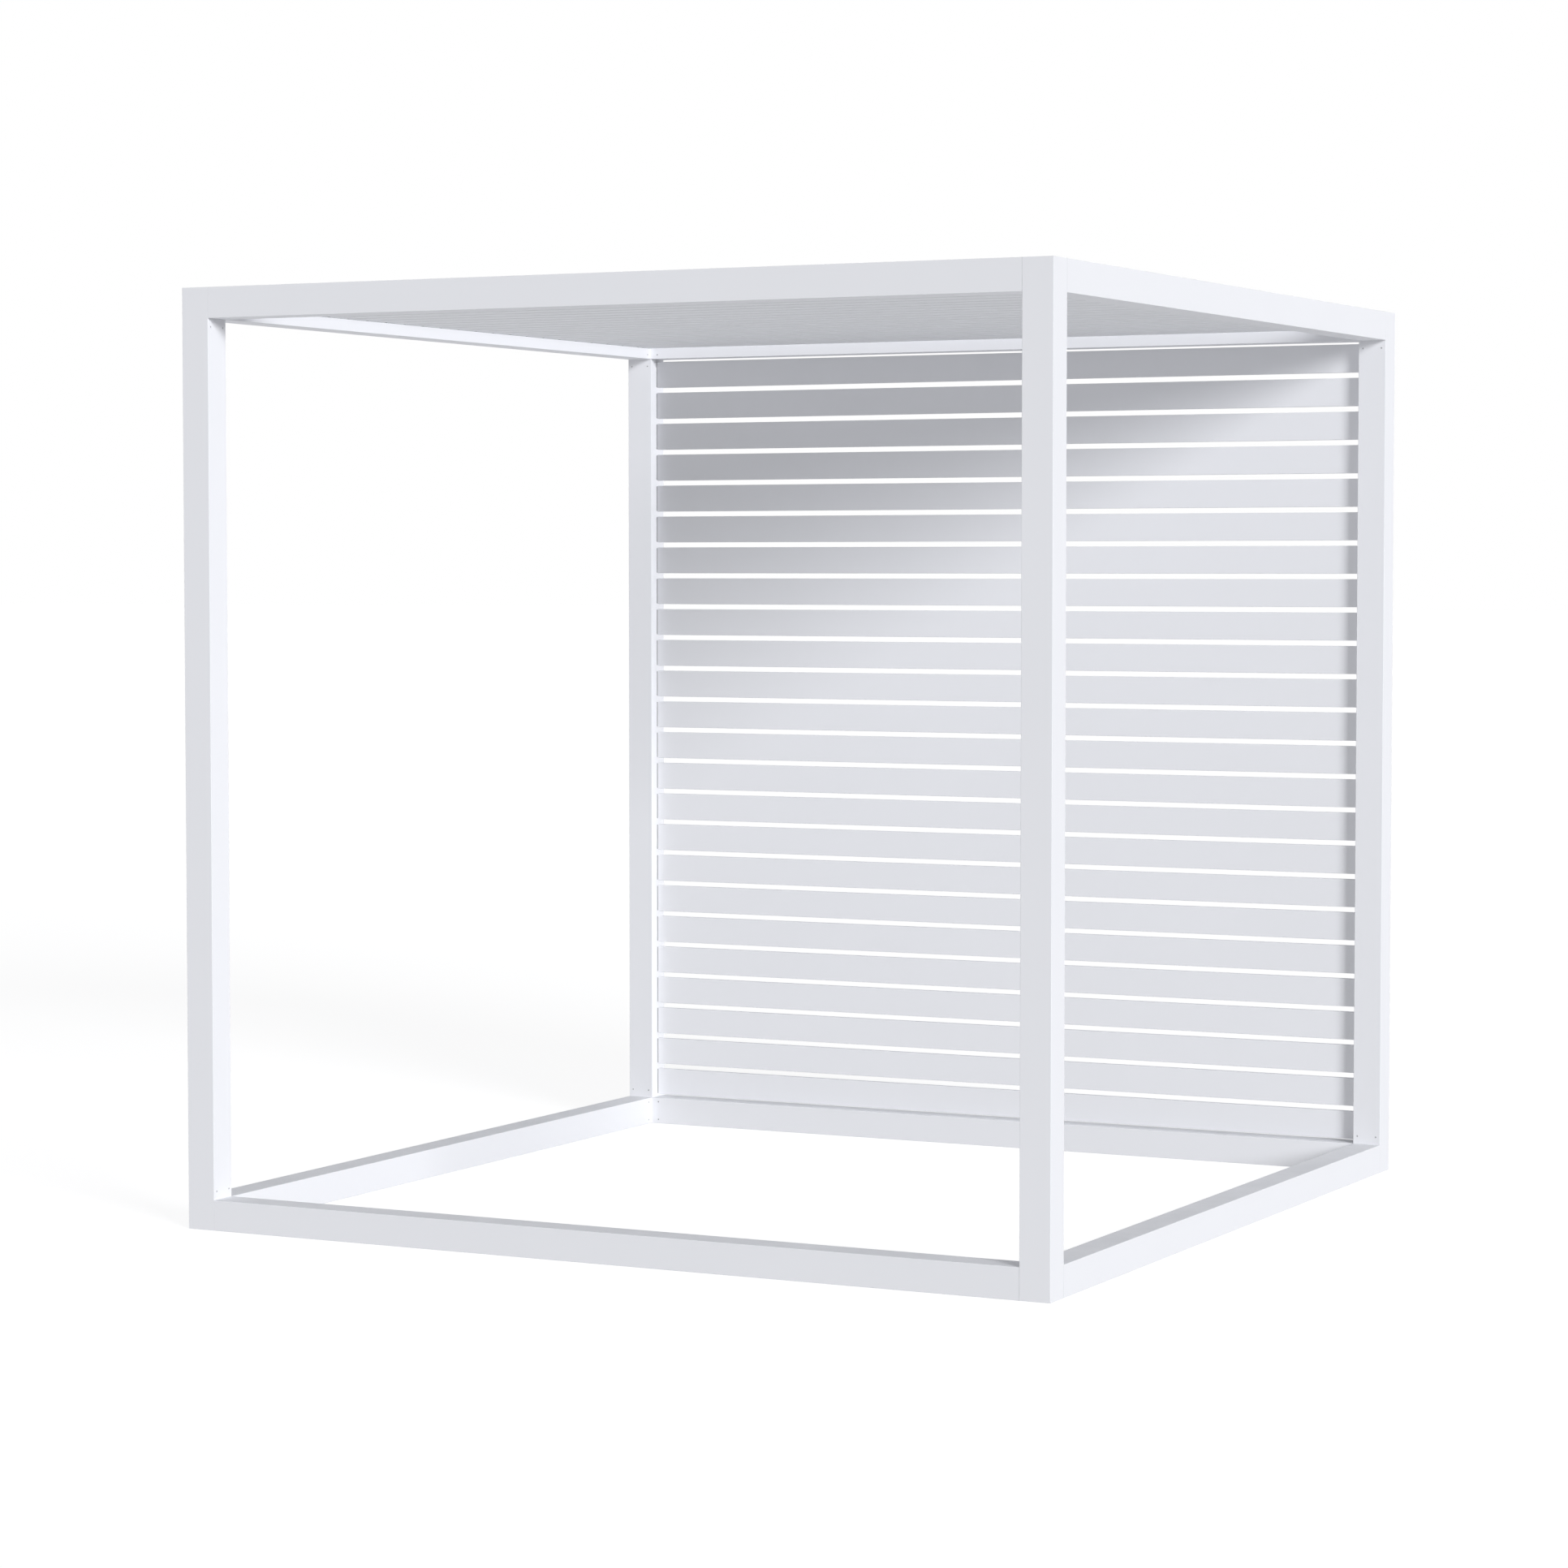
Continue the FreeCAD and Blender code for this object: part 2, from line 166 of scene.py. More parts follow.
class SeamSettings(PropertyGroup):
    """Fine lines where the beams' ends meet the posts."""

    colour: FloatVectorProperty(
        name="Colour", description="Colour of the line",
        subtype="COLOR", size=3, min=0, max=1, default=(0.60, 0.605, 0.615))
    width: FloatProperty(
        name="Width", description="Width of the line", unit="LENGTH", default=0.3 * MM)
    proud: FloatProperty(
        name="Proud", description="Height of the line above the tube", unit="LENGTH", default=0.03 * MM)
    edge: FloatProperty(
        name="Edge", description="Radius of the tube's edges", unit="LENGTH", default=1.2 * MM)
    steps: IntProperty(
        name="Steps", description="Flats in each rounded edge", min=1, default=6)


class StageSettings(PropertyGroup):
    """Floor, light and camera."""

    floor: FloatVectorProperty(
        name="Floor", description="Colour of the floor",
        subtype="COLOR", size=3, min=0, max=1, default=(0.85, 0.85, 0.85))
    floor_shade: FloatProperty(
        name="Floor Shade", description="Share of the light that the floor shows to the camera",
        subtype="FACTOR", min=0, max=1, default=0.30)
    floor_glow: FloatProperty(
        name="Floor Glow", description="White that the floor shows to the camera in the deepest shadow",
        default=0.83)
    key_strength: FloatProperty(
        name="Key Strength", description="Strength of the soft key light", default=2.42)
    key_width: FloatProperty(
        name="Key Width", description="Angle that the key light takes up in the sky",
        subtype="ANGLE", default=math.radians(19))
    key_turn: FloatProperty(
        name="Key Turn", description="Turn of the key light from the front to the right",
        subtype="ANGLE", default=math.radians(57))
    key_height: FloatProperty(
        name="Key Height", description="Height of the key light above the horizon",
        subtype="ANGLE", default=math.radians(17))
    tint: FloatVectorProperty(
        name="Tint", description="Colour of all the light",
        subtype="COLOR", size=3, min=0, max=1, default=(0.97, 0.977, 1.0))
    above: FloatProperty(
        name="Above", description="Strength of the soft light from above the horizon", default=0.395)
    above_right: FloatProperty(
        name="Above Right", description="Share by which the light from above grows to the right",
        default=0.355)
    above_back: FloatProperty(
        name="Above Back", description="Share by which the light from above grows to the back",
        default=-0.10)
    below: FloatProperty(
        name="Below", description="Strength of the soft light that a pale floor sends up", default=0.625)
    below_right: FloatProperty(
        name="Below Right", description="Share by which the light from the floor grows to the right",
        default=-0.535)
    below_back: FloatProperty(
        name="Below Back", description="Share by which the light from the floor grows to the back",
        default=0.305)
    lens: FloatProperty(
        name="Lens", description="Focal length of the camera in millimetres", default=95.544)
    sensor: FloatProperty(
        name="Sensor", description="Width of the camera's sensor in millimetres", default=36)
    camera_place: FloatVectorProperty(
        name="Camera Place", description="Where the camera stands",
        subtype="TRANSLATION", unit="LENGTH", size=3, default=(5.0719, -10.156, 1.7275))
    camera_dip: FloatProperty(
        name="Camera Dip", description="Angle by which the camera looks down",
        subtype="ANGLE", default=math.radians(2.977))
    camera_turn: FloatProperty(
        name="Camera Turn", description="Turn of the camera from straight ahead to the left",
        subtype="ANGLE", default=math.radians(26.993))


def add_node(tree, kind, inputs=None, **settings):
    """New node of a kind, with its settings, and its inputs by name, set."""
    node = tree.nodes.new(kind)
    for name, value in settings.items():
        setattr(node, name, value)
    for name, value in (inputs or {}).items():
        node.inputs[name].default_value = value
    return node


def new_group(name, inputs, outputs):
    """Empty shader node group with named sockets; returns it with its input and output nodes."""
    tree = bpy.data.node_groups.new(name, "ShaderNodeTree")
    for socket, default in inputs.items():
        made = tree.interface.new_socket(socket, in_out="INPUT", socket_type="NodeSocketFloat")
        made.default_value = default
    for socket in outputs:
        tree.interface.new_socket(socket, in_out="OUTPUT", socket_type="NodeSocketFloat")
    return tree, tree.nodes.new("NodeGroupInput"), tree.nodes.new("NodeGroupOutput")


def grain_group():
    """Fine ripples and a slow drift of tone over a surface, at a size in metres."""
    name = "Surface Grain"
    if name in bpy.data.node_groups:
        return bpy.data.node_groups[name]
    tree, start, end = new_group(name, {"Size": 2 * MM, "Drift Size": 0.4}, ["Height", "Tone"])
    place = add_node(tree, "ShaderNodeTexCoord")
    for size, output, detail in (("Size", "Height", 2), ("Drift Size", "Tone", 3)):
        scale = add_node(tree, "ShaderNodeMath", {0: 1.0}, operation="DIVIDE")
        noise = add_node(tree, "ShaderNodeTexNoise", {"Detail": detail, "Roughness": 0.55})
        tree.links.new(start.outputs[size], scale.inputs[1])
        tree.links.new(place.outputs["Object"], noise.inputs["Vector"])
        tree.links.new(scale.outputs[0], noise.inputs["Scale"])
        tree.links.new(noise.outputs["Fac"], end.inputs[output])
    return tree


def dust_and_top_shade_group():
    """Mask of thin dust, in patches, on the faces of a piece that look up as it was mounted; on the white
    coating it is also painted shade that darkens those faces.
    """
    name = "Settled Dust"
    if name in bpy.data.node_groups:
        return bpy.data.node_groups[name]
    tree, start, end = new_group(name, {"Amount": 0.1, "Patch Size": 0.15}, ["Mask"])
    place = add_node(tree, "ShaderNodeTexCoord")
    parts = add_node(tree, "ShaderNodeSeparateXYZ")
    # none on slopes past 60 degrees, all of it on level faces
    facing = add_node(tree, "ShaderNodeMapRange", {"From Min": 0.5, "From Max": 0.95})
    scale = add_node(tree, "ShaderNodeMath", {0: 1.0}, operation="DIVIDE")
    patches = add_node(tree, "ShaderNodeTexNoise", {"Detail": 5, "Roughness": 0.6})
    spread = add_node(tree, "ShaderNodeMapRange", {"From Min": 0.1, "From Max": 0.85})
    lying = add_node(tree, "ShaderNodeMath", operation="MULTIPLY")
    mask = add_node(tree, "ShaderNodeMath", operation="MULTIPLY")
    tree.links.new(place.outputs["Normal"], parts.inputs[0])
    tree.links.new(parts.outputs["Z"], facing.inputs["Value"])
    tree.links.new(place.outputs["Object"], patches.inputs["Vector"])
    tree.links.new(start.outputs["Patch Size"], scale.inputs[1])
    tree.links.new(scale.outputs[0], patches.inputs["Scale"])
    tree.links.new(patches.outputs["Fac"], spread.inputs["Value"])
    tree.links.new(facing.outputs["Result"], lying.inputs[0])
    tree.links.new(spread.outputs["Result"], lying.inputs[1])
    tree.links.new(lying.outputs[0], mask.inputs[0])
    tree.links.new(start.outputs["Amount"], mask.inputs[1])
    tree.links.new(mask.outputs[0], end.inputs["Mask"])
    return tree


def edge_group():
    """Mask of the edges of a piece, where a coating thins and a bare metal is rubbed bright."""
    name = "Worn Edges"
    if name in bpy.data.node_groups:
        return bpy.data.node_groups[name]
    tree, start, end = new_group(name, {"Width": 2 * MM, "Amount": 0.3}, ["Mask"])
    soft = add_node(tree, "ShaderNodeBevel", samples=4)
    true = add_node(tree, "ShaderNodeNewGeometry")
    dot = add_node(tree, "ShaderNodeVectorMath", operation="DOT_PRODUCT")
    # none where the rounded normal is true to the face, all of it where they part by 37 degrees
    bend = add_node(tree, "ShaderNodeMapRange", {"From Min": 0.995, "From Max": 0.8})
    mask = add_node(tree, "ShaderNodeMath", operation="MULTIPLY")
    tree.links.new(start.outputs["Width"], soft.inputs["Radius"])
    tree.links.new(soft.outputs["Normal"], dot.inputs[0])
    tree.links.new(true.outputs["Normal"], dot.inputs[1])
    tree.links.new(dot.outputs["Value"], bend.inputs["Value"])
    tree.links.new(bend.outputs["Result"], mask.inputs[0])
    tree.links.new(start.outputs["Amount"], mask.inputs[1])
    tree.links.new(mask.outputs[0], end.inputs["Mask"])
    return tree


def place_group(tree, group, **inputs):
    """Places a node group in a material with its values set; an underscore stands for a space in a name."""
    node = add_node(tree, "ShaderNodeGroup", node_tree=group)
    for name, value in inputs.items():
        node.inputs[name.replace("_", " ")].default_value = value
    return node


def blend_colours(tree, mask, under, over):
    """Colour that goes from one to another by a mask; each is a colour or an output that gives one."""
    mix = add_node(tree, "ShaderNodeMix", data_type="RGBA")
    tree.links.new(mask, mix.inputs["Factor"])
    for socket, value in ((mix.inputs["A"], under), (mix.inputs["B"], over)):
        if isinstance(value, bpy.types.NodeSocket):
            tree.links.new(value, socket)
        else:
            socket.default_value = (*value, 1)
    return mix.outputs["Result"]


def shade(colour, share):
    """Colour made lighter or darker by a share."""
    return tuple(min(1.0, part * share) for part in colour)


def surface(name, colour, roughness, grain, depth, drift, dust=None, edge=None, metallic=0.0, shine=0.5):
    """Material with a grain, a drift of tone, dust and worn edges, at their real sizes.

    grain is the width of the ripples and depth their height. drift is how far the tone wanders.
    dust and edge are each a colour and an amount; on the white coating the dust is partly painted shade of
    the faces that look up.
    """
    made = bpy.data.materials.get(name)
    if made:
        return made
    made = bpy.data.materials.new(name)
    made.use_nodes = True
    tree = made.node_tree
    skin = tree.nodes["Principled BSDF"]
    skin.inputs["Metallic"].default_value = metallic
    skin.inputs["Specular IOR Level"].default_value = shine
    texture = place_group(tree, grain_group(), Size=grain)
    tone = blend_colours(tree, texture.outputs["Tone"], shade(colour, 1 - drift), shade(colour, 1 + drift))
    if edge:
        worn = place_group(tree, edge_group(), Amount=edge[1])
        tone = blend_colours(tree, worn.outputs["Mask"], tone, edge[0])
    # on the white coating this mask also paints shade onto the faces that look up
    if dust:
        lying = place_group(tree, dust_and_top_shade_group(), Amount=dust[1])
        tone = blend_colours(tree, lying.outputs["Mask"], tone, dust[0])
    tree.links.new(tone, skin.inputs["Base Color"])
    smoothest, roughest = roughness - ROUGHNESS_SPREAD, roughness + ROUGHNESS_SPREAD
    rough = add_node(tree, "ShaderNodeMapRange", {"To Min": smoothest, "To Max": roughest})
    tree.links.new(texture.outputs["Height"], rough.inputs["Value"])
    tree.links.new(rough.outputs["Result"], skin.inputs["Roughness"])
    bump = add_node(tree, "ShaderNodeBump", {"Strength": BUMP_STRENGTH, "Distance": depth})
    tree.links.new(texture.outputs["Height"], bump.inputs["Height"])
    tree.links.new(bump.outputs["Normal"], skin.inputs["Normal"])
    return made


def white_coat():
    """Matt white powder coating, whose dust on faces that look up is partly real dust and partly painted
    shade.
    """
    coat = bpy.context.scene.pergola_coat
    thin = shade(coat.colour, 0.94)
    return surface("white_powder_coat", coat.colour, coat.roughness, grain=coat.peel, depth=0.03 * MM,
                   drift=0.012, dust=(coat.dust, coat.dust_and_top_shade_amount), edge=(thin, 0.35), shine=coat.shine)


def bare_aluminium():
    """Bare metal with a fine blasted skin."""
    colour = bpy.context.scene.pergola_fittings.aluminium
    bright = shade(colour, 1.25)
    return surface("blasted_aluminium", colour, roughness=0.42, grain=0.6 * MM, depth=0.04 * MM, drift=0.06,
                   edge=(bright, 0.5), metallic=1.0)


def white_plastic():
    """Moulded white plastic of the blocks in the wall slats' ends, coloured mid-grey as painted shade of the
    gaps at the slats' ends.
    """
    colour = bpy.context.scene.pergola_fittings.white_plastic
    return surface("spigot_plastic_painted_shade", colour, roughness=0.5, grain=0.8 * MM, depth=0.02 * MM,
                   drift=0.02)


def dark_plastic():
    """Moulded dark plastic with a fine grain."""
    fittings = bpy.context.scene.pergola_fittings
    return surface("moulded_dark_plastic", fittings.dark_plastic, roughness=0.55, grain=0.7 * MM,
                   depth=0.05 * MM, drift=0.1, dust=(fittings.strip_dust, 0.2))


def screw_steel():
    """Zinc-plated steel of the screws' ends."""
    screw = bpy.context.scene.pergola_screws
    return surface("zinc_plated_steel", screw.steel, roughness=0.45, grain=0.4 * MM, depth=0.01 * MM,
                   drift=0.05, edge=(screw.steel_edge, 0.4), metallic=0.6)


def socket_shadow():
    """Painted shade inside the screws' sockets and in the groove round each screw."""
    colour = bpy.context.scene.pergola_screws.socket_shade_colour
    return surface("screw_socket_painted_shade", colour, roughness=0.5, grain=0.5 * MM, depth=0.01 * MM, drift=0.1)


def joint_shadow():
    """Grey of the fine gap between a beam and a post."""
    colour = bpy.context.scene.pergola_seams.colour
    return surface("joint_gap", colour, roughness=0.7, grain=1.0 * MM, depth=0.01 * MM, drift=0.08)


def dress(names, material):
    """Gives CAD nodes a material."""
    for name in names:
        slots = NODES[name].data.materials
        slots.clear()
        slots.append(material)


def new_piece(name, mesh, materials, body):
    """Object for a finished mesh, riding on a body, with the materials given."""
    data = bpy.data.meshes.new(name)
    mesh.to_mesh(data)
    mesh.free()
    for material in materials:
        data.materials.append(material)
    piece = bpy.data.objects.new(name, data)
    bpy.context.scene.collection.objects.link(piece)
    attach(piece, body)
    return piece


def ring_points(radius, height, count, turn=0.0):
    """Points of a regular polygon about the Z axis."""
    angles = [turn + 2 * math.pi * i / count for i in range(count)]
    return [Vector((radius * math.cos(a), radius * math.sin(a), height)) for a in angles]


def add_band(mesh, lower, upper, material, smooth=False):
    """Faces between two rings of as many corners."""
    count = len(lower)
    for i in range(count):
        k = (i + 1) % count
        face = mesh.faces.new((lower[i], lower[k], upper[k], upper[i]))
        face.material_index = material
        face.smooth = smooth


def add_set_screw(mesh, place, screw):
    """Set screw flush in a hole with a rolled rim: rim, screw end, hexagon socket and its floor."""
    # the third material is painted shade, in the groove round the screw and in the socket
    coat, steel, dark = 0, 1, 2
    hole = screw.diameter / 2
    rim = screw.rim
    top = screw.proud
    groove = 0.12 * top
    end = 0.5 * top
    # radius, height and material of each ring, from the rim's foot over its crest to the screw's end
    rings = [
        (hole + rim, -screw.sunk, coat),
        (hole + rim, 0.0, coat),
        (hole + 0.75 * rim, 0.7 * top, coat),
        (hole + 0.4 * rim, top, coat),
        (hole + 0.12 * rim, 0.8 * top, coat),
        (hole, groove, coat),
        (0.94 * hole, groove, dark),
        (0.92 * hole, 0.8 * end, steel),
        (0.8 * hole, end, steel),
    ]
    corners = []
    for radius, height, _ in rings:
        points = ring_points(radius, height, SCREW_SIDES)
        corners.append([mesh.verts.new(place @ point) for point in points])
    mesh.faces.new(reversed(corners[0]))
    for i in range(1, len(rings)):
        add_band(mesh, corners[i - 1], corners[i], rings[i][2], True)

    corner = screw.socket / math.sqrt(3)
    mouth = [mesh.verts.new(place @ point) for point in ring_points(corner, end, SOCKET_SIDES)]
    floor = [mesh.verts.new(place @ point) for point in ring_points(0.96 * corner, 0.2 * end, SOCKET_SIDES)]
    step = SCREW_SIDES // SOCKET_SIDES
    last = corners[-1]
    for i in range(SOCKET_SIDES):
        k = (i + 1) % SOCKET_SIDES
        arc = [last[(i * step + j) % SCREW_SIDES] for j in range(step + 1)]
        face = mesh.faces.new([mouth[i]] + arc + [mouth[k]])
        face.material_index = steel
    # socket walls and floor in painted shade
    add_band(mesh, mouth, floor, dark)
    mesh.faces.new(floor).material_index = dark


def facing(point, normal):
    """Placement that puts Z along a face's normal at a point of it."""
    return Matrix.Translation(point) @ normal.to_track_quat("Z", "Y").to_matrix().to_4x4()


def inner_face_places(low, high, across, runs, heights):
    """Placements on a tube's face that looks inwards along an axis, at each height and each run along it."""
    inward = -1 if high[across] > 0 else 1
    normal = Vector((0, 0, 0))
    normal[across] = inward
    places = []
    for height in heights:
        for run in runs:
            point = Vector((run, run, height))
            point[across] = low[across] if inward < 0 else high[across]
            places.append(facing(point, normal))
    return places


def beam_axes(name):
    """Axes along a beam and across it on the ground: X and Y for the front and back ones."""
    return (0, 1) if name.endswith(ENDS) else (1, 0)


def beam_screw_places(name, screw):
    """Places of the four screws on a beam's inner face, two at each end."""
    low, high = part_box(name)
    along, across = beam_axes(name)
    runs = (low[along] + screw.from_joint, high[along] - screw.from_joint)
    heights = (low.z + screw.from_edge, high.z - screw.from_edge)
    return inner_face_places(low, high, across, runs, heights)


def post_screw_places(name, screw):
    """Places of a post's four screws: on the inner side face at the front, on the front face at the back."""
    low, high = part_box(name)
    across = 0 if "_front_" in name else 1
    along = 1 - across
    runs = (low[along] + screw.from_edge, high[along] - screw.from_edge)
    heights = (low.z + TUBE + screw.from_joint, high.z - TUBE - screw.from_joint)
    return inner_face_places(low, high, across, runs, heights)


def tube_outline(half, edge, steps):
    """Points (u, v) round a square tube with rounded edges."""
    points = []
    for quarter in range(4):
        turn = quarter * math.pi / 2
        for i in range(steps + 1):
            angle = turn + math.pi / 2 * i / steps
            inset = half - edge
            u = inset * (math.cos(turn) - math.sin(turn)) + edge * math.cos(angle)
            v = inset * (math.sin(turn) + math.cos(turn)) + edge * math.sin(angle)
            points.append((u, v))
    return points


def add_joint_line(mesh, name, end, seam):
    """Thin closed band round a beam's end; end is -1 for its low end and 1 for its high one."""
    low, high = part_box(name)
    along, across = beam_axes(name)
    middle = (low + high) / 2
    face = low[along] if end < 0 else high[along]
    # the band's section: at the joint or a width from it, under or over the tube's face
    section = ((0, -1), (0, 1), (1, 1), (1, -1))
    rings = []
    for depth, height in section:
        half = TUBE / 2 + height * seam.proud
        ring = []
        for u, v in tube_outline(half, seam.edge, seam.steps):
            point = Vector((0, 0, middle.z + v))
            point[across] = middle[across] + u
            point[along] = face - end * depth * seam.width
            ring.append(mesh.verts.new(point))
        rings.append(ring)
    for i in range(len(section)):
        add_band(mesh, rings[i - 1], rings[i], 0)


class PERGOLA_OT_coat_frame(Operator):
    """Coat the posts, beams and end plates white"""

    bl_idname = "pergola.coat_frame"
    bl_label = "Coat Frame"

    def execute(self, context):
        dress(POSTS + BEAMS + ["post_caps"], white_coat())
        return {"FINISHED"}


class PERGOLA_OT_coat_slats(Operator):
    """Coat the slats of the wall and the roof white"""

    bl_idname = "pergola.coat_slats"
    bl_label = "Coat Slats"

    def execute(self, context):
        dress(ROOF_SLATS + ["wall_slats"], white_coat())
        return {"FINISHED"}


class PERGOLA_OT_finish_fittings(Operator):
    """Finish the joints, blocks, strips and the link bar inside the tubes and slats"""

    bl_idname = "pergola.finish_fittings"
    bl_label = "Finish Fittings"

    def execute(self, context):
        dress(CORNER_JOINTS + ["link_bar"], bare_aluminium())
        dress(SPIGOTS, white_plastic())
        strips = [f"{kind}_strip_{side}" for kind in ("bearing", "keeper") for side in SIDES]
        dress(strips + ["post_feet"], dark_plastic())
        return {"FINISHED"}


class PERGOLA_OT_add_set_screws(Operator):
    """Add the set screws that hold the tubes to the corner joints"""

    bl_idname = "pergola.add_set_screws"
    bl_label = "Add Set Screws"

    def execute(self, context):
        screw = context.scene.pergola_screws
        groups = {
            "set_screws_posts": [place for name in POSTS for place in post_screw_places(name, screw)],
        }
        for level in LEVELS:
            beams = [name for name in BEAMS if name.startswith(level)]
            places = [place for name in beams for place in beam_screw_places(name, screw)]
            groups[f"set_screws_{level}_beams"] = places
        for name, places in groups.items():
            mesh = bmesh.new()
            for place in places:
                add_set_screw(mesh, place, screw)
            materials = (white_coat(), screw_steel(), socket_shadow())
            new_piece(name, mesh, materials, "frame")
        return {"FINISHED"}


class PERGOLA_OT_add_joint_lines(Operator):
    """Add the fine lines where the beams' ends meet the posts"""

    bl_idname = "pergola.add_joint_lines"
    bl_label = "Add Joint Lines"

    def execute(self, context):
        for level in LEVELS:
            mesh = bmesh.new()
            for name in BEAMS:
                if name.startswith(level):
                    for end in (-1, 1):
                        add_joint_line(mesh, name, end, context.scene.pergola_seams)
            bmesh.ops.recalc_face_normals(mesh, faces=mesh.faces)
            new_piece(f"joint_lines_{level}", mesh, [joint_shadow()], "frame")
        return {"FINISHED"}


def seen_as_backdrop(tree):
    """Output that is 1 for what the camera, reflections and glass see and 0 for the light on the object."""
    path = add_node(tree, "ShaderNodeLightPath")
    seen = path.outputs["Is Camera Ray"]
    for ray in ("Is Glossy Ray", "Is Transmission Ray"):
        either = add_node(tree, "ShaderNodeMath", operation="MAXIMUM")
        tree.links.new(seen, either.inputs[0])
        tree.links.new(path.outputs[ray], either.inputs[1])
        seen = either.outputs[0]
    return seen


def floor_material(stage):
    """Pale floor that the camera and reflections see as white, with the object's shadow kept."""
    made = bpy.data.materials.new("studio_floor")
    made.use_nodes = True
    tree = made.node_tree
    tree.nodes.clear()
    grey = stage.floor_shade
    plain = add_node(tree, "ShaderNodeBsdfDiffuse", {"Color": (*stage.floor, 1)})
    shadowed = add_node(tree, "ShaderNodeBsdfDiffuse", {"Color": (grey, grey, grey, 1)})
    glow = add_node(tree, "ShaderNodeEmission", {"Color": (1, 1, 1, 1), "Strength": stage.floor_glow})
    white = add_node(tree, "ShaderNodeAddShader")
    mix = add_node(tree, "ShaderNodeMixShader")
    out = add_node(tree, "ShaderNodeOutputMaterial")
    tree.links.new(shadowed.outputs[0], white.inputs[0])
    tree.links.new(glow.outputs[0], white.inputs[1])
    tree.links.new(seen_as_backdrop(tree), mix.inputs["Fac"])
    tree.links.new(plain.outputs[0], mix.inputs[1])
    tree.links.new(white.outputs[0], mix.inputs[2])
    tree.links.new(mix.outputs[0], out.inputs["Surface"])
    return made


def half_sky(tree, parts, level, right, back):
    """Output with the strength of one half of the sky, which grows by shares to the right and the back."""
    across = add_node(tree, "ShaderNodeMath", {1: level * right, 2: level}, operation="MULTIPLY_ADD")
    along = add_node(tree, "ShaderNodeMath", {1: level * back}, operation="MULTIPLY_ADD")
    tree.links.new(parts.outputs["X"], across.inputs[0])
    tree.links.new(parts.outputs["Y"], along.inputs[0])
    tree.links.new(across.outputs[0], along.inputs[2])
    return along.outputs[0]


def sky_world(stage):
    """World that lights the object softly from all round and that camera and reflections see as white."""
    world = bpy.data.worlds.new("studio_sky")
    world.use_nodes = True
    tree = world.node_tree
    tree.nodes.clear()
    light = add_node(tree, "ShaderNodeBackground", {"Color": (*stage.tint, 1)})
    white = add_node(tree, "ShaderNodeBackground", {"Color": (1, 1, 1, 1), "Strength": 1.0})
    place = add_node(tree, "ShaderNodeTexCoord")
    parts = add_node(tree, "ShaderNodeSeparateXYZ")
    tree.links.new(place.outputs["Generated"], parts.inputs[0])
    level = add_node(tree, "ShaderNodeMapRange", {"From Min": -HORIZON_BLEND, "From Max": HORIZON_BLEND})
    tree.links.new(parts.outputs["Z"], level.inputs["Value"])
    below = half_sky(tree, parts, stage.below, stage.below_right, stage.below_back)
    above = half_sky(tree, parts, stage.above, stage.above_right, stage.above_back)
    tree.links.new(below, level.inputs["To Min"])
    tree.links.new(above, level.inputs["To Max"])
    tree.links.new(level.outputs["Result"], light.inputs["Strength"])
    mix = add_node(tree, "ShaderNodeMixShader")
    out = add_node(tree, "ShaderNodeOutputWorld")
    tree.links.new(seen_as_backdrop(tree), mix.inputs["Fac"])
    tree.links.new(light.outputs[0], mix.inputs[1])
    tree.links.new(white.outputs[0], mix.inputs[2])
    tree.links.new(mix.outputs[0], out.inputs["Surface"])
    return world


def gather(name, pieces):
    """Collection of pieces for a lamp."""
    made = bpy.data.collections.new(name)
    for piece in pieces:
        made.objects.link(piece)
    return made


def add_lamp(name, stage, lit, blocking):
    """Soft distant key lamp on some pieces; only the blocking ones, or everything, cast its shadows."""
    lamp = bpy.data.lights.new(name, "SUN")
    lamp.energy = stage.key_strength
    lamp.angle = stage.key_width
    lamp.color = stage.tint
    key = bpy.data.objects.new(name, lamp)
    flat = math.cos(stage.key_height)
    turn = stage.key_turn
    towards = Vector((math.sin(turn) * flat, -math.cos(turn) * flat, math.sin(stage.key_height)))
    key.rotation_euler = towards.to_track_quat("Z", "Y").to_euler()
    key.location = towards * LAMP_DISTANCE
    bpy.context.scene.collection.objects.link(key)
    key.light_linking.receiver_collection = gather(f"{name}_lit", lit)
    if blocking:
        key.light_linking.blocker_collection = gather(f"{name}_blocking", blocking)


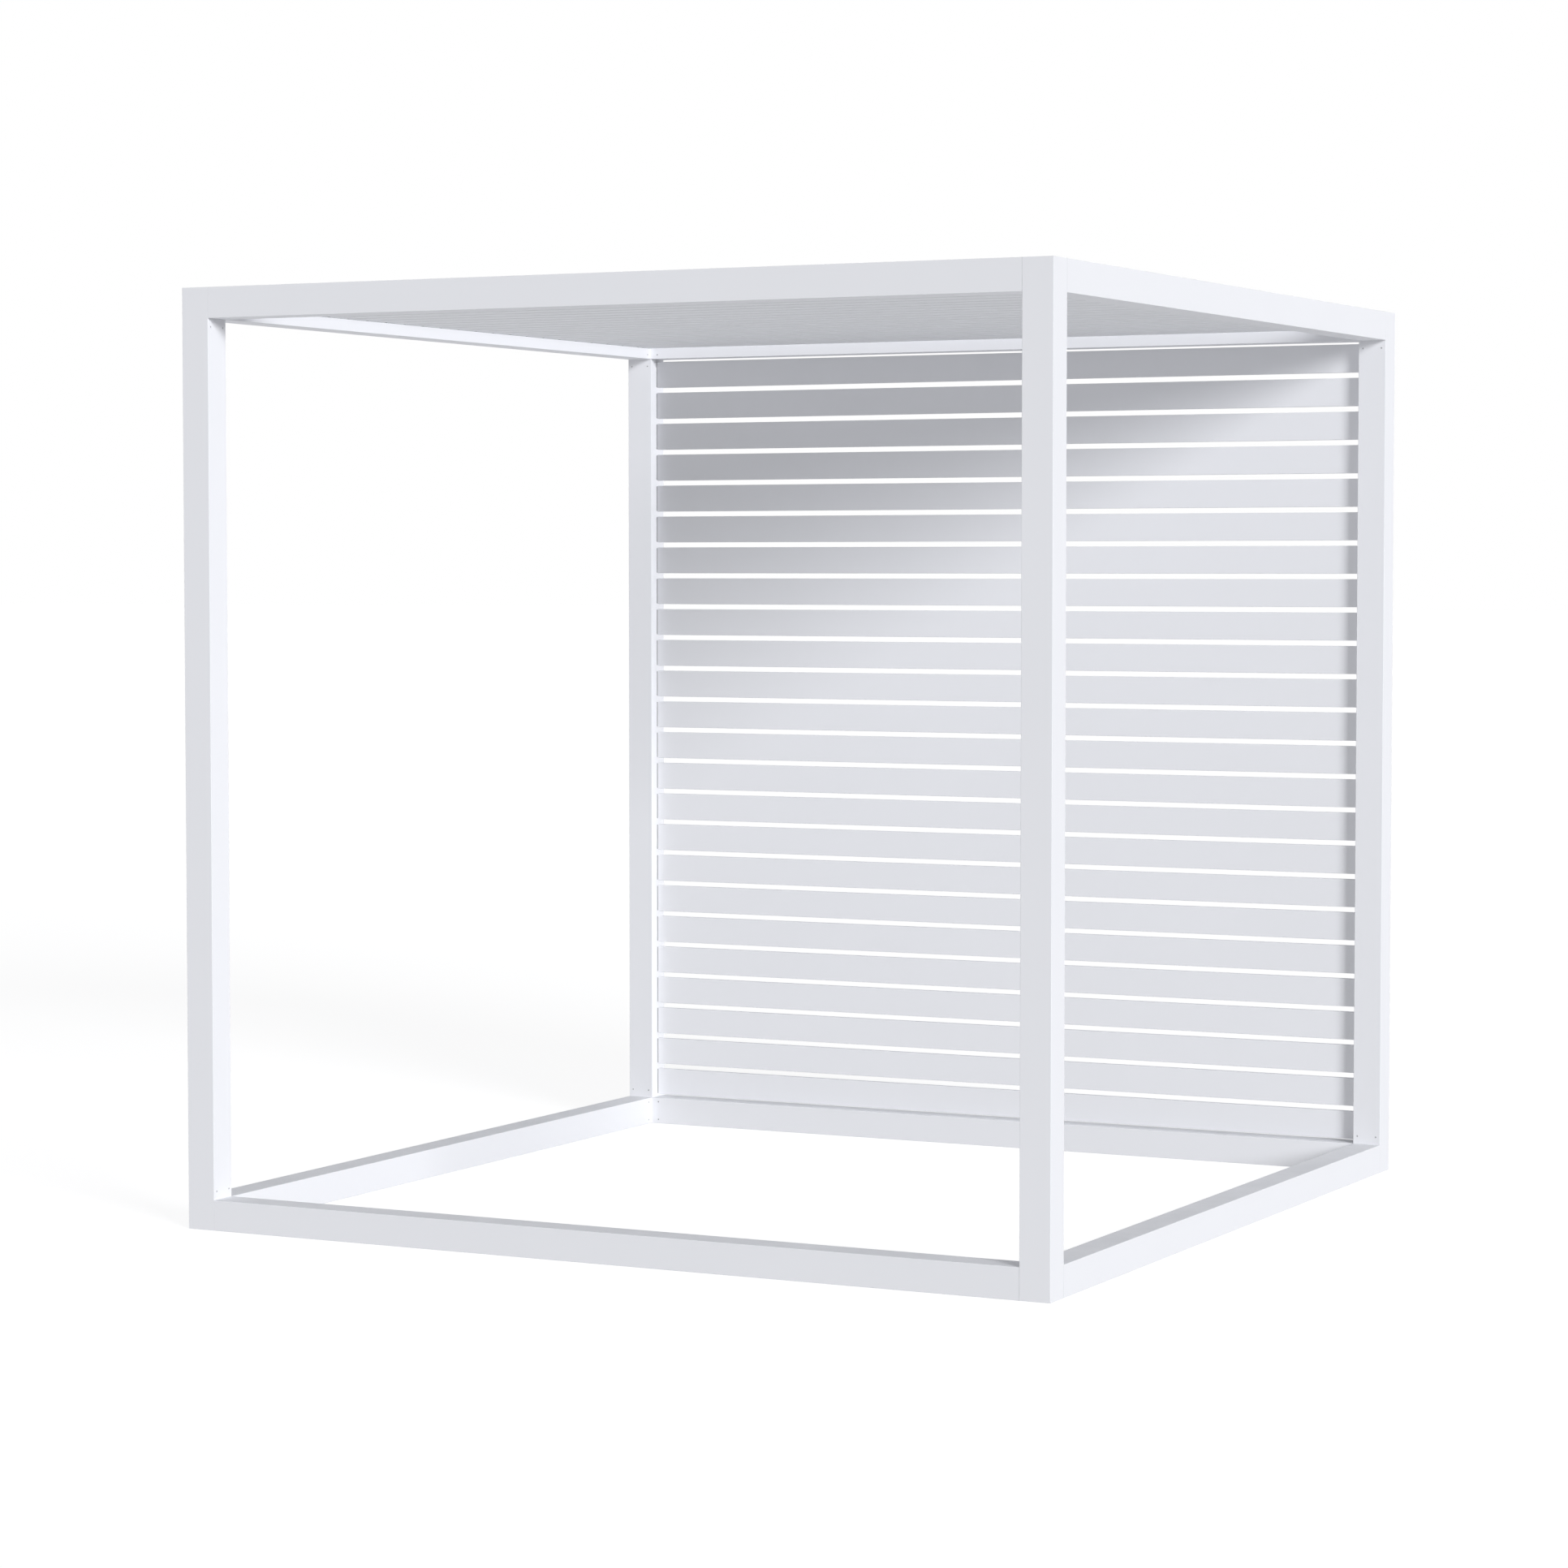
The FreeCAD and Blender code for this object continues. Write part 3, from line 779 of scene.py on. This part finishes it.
class PERGOLA_OT_set_stage(Operator):
    """Set the floor, the light and the camera"""

    bl_idname = "pergola.set_stage"
    bl_label = "Set Stage"

    def execute(self, context):
        scene = context.scene
        stage = scene.pergola_stage
        scene.view_settings.view_transform = "Standard"

        mesh = bmesh.new()
        bmesh.ops.create_grid(mesh, x_segments=1, y_segments=1, size=FLOOR_REACH)
        data = bpy.data.meshes.new("floor")
        mesh.to_mesh(data)
        mesh.free()
        data.materials.append(floor_material(stage))
        floor = bpy.data.objects.new("floor", data)
        floor.location.z = -FLOOR_GAP
        scene.collection.objects.link(floor)
        floor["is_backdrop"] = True
        # the world's lower half stands for the light that the floor sends up
        floor.visible_diffuse = False
        floor.visible_shadow = False

        scene.world = sky_world(stage)
        # the slats' shadows in the key light don't fall on the frame, so each has a key lamp of its own
        outer = [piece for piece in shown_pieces() if piece.name not in SLATTED]
        others = [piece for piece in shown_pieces() if piece.name in SLATTED] + [floor]
        add_lamp("key_frame", stage, outer, outer)
        add_lamp("key_slats", stage, others, None)

        view = bpy.data.cameras.new("camera")
        view.sensor_width = stage.sensor
        view.lens = stage.lens
        camera = bpy.data.objects.new("camera", view)
        camera.location = stage.camera_place
        camera.rotation_euler = (math.pi / 2 - stage.camera_dip, 0, stage.camera_turn)
        scene.collection.objects.link(camera)
        scene.camera = camera
        return {"FINISHED"}


OPERATORS = (
    PERGOLA_OT_coat_frame,
    PERGOLA_OT_coat_slats,
    PERGOLA_OT_finish_fittings,
    PERGOLA_OT_add_set_screws,
    PERGOLA_OT_add_joint_lines,
    PERGOLA_OT_set_stage,
)

SETTINGS = {
    "pergola_coat": CoatSettings,
    "pergola_fittings": FittingSettings,
    "pergola_screws": ScrewSettings,
    "pergola_seams": SeamSettings,
    "pergola_stage": StageSettings,
}


class PERGOLA_PT_panel(Panel):
    """Pieces and settings of the pergola"""

    bl_idname = "PERGOLA_PT_panel"
    bl_label = "Pergola"
    bl_space_type = "VIEW_3D"
    bl_region_type = "UI"
    bl_category = "Pergola"

    def draw(self, context):
        for kind in OPERATORS:
            self.layout.operator(kind.bl_idname)
        for name, kind in SETTINGS.items():
            box = self.layout.box()
            box.label(text=kind.__doc__)
            for setting in kind.__annotations__:
                box.prop(getattr(context.scene, name), setting)


def register():
    for kind in (*SETTINGS.values(), *OPERATORS, PERGOLA_PT_panel):
        bpy.utils.register_class(kind)
    for name, kind in SETTINGS.items():
        setattr(bpy.types.Scene, name, PointerProperty(type=kind))


def unregister():
    for name in SETTINGS:
        delattr(bpy.types.Scene, name)
    for kind in reversed((*SETTINGS.values(), *OPERATORS, PERGOLA_PT_panel)):
        bpy.utils.unregister_class(kind)


def main():
    register()
    bpy.ops.pergola.coat_frame()
    bpy.ops.pergola.coat_slats()
    bpy.ops.pergola.finish_fittings()
    bpy.ops.pergola.add_set_screws()
    bpy.ops.pergola.add_joint_lines()
    bpy.ops.pergola.set_stage()


if __name__ == "__main__":
    main()
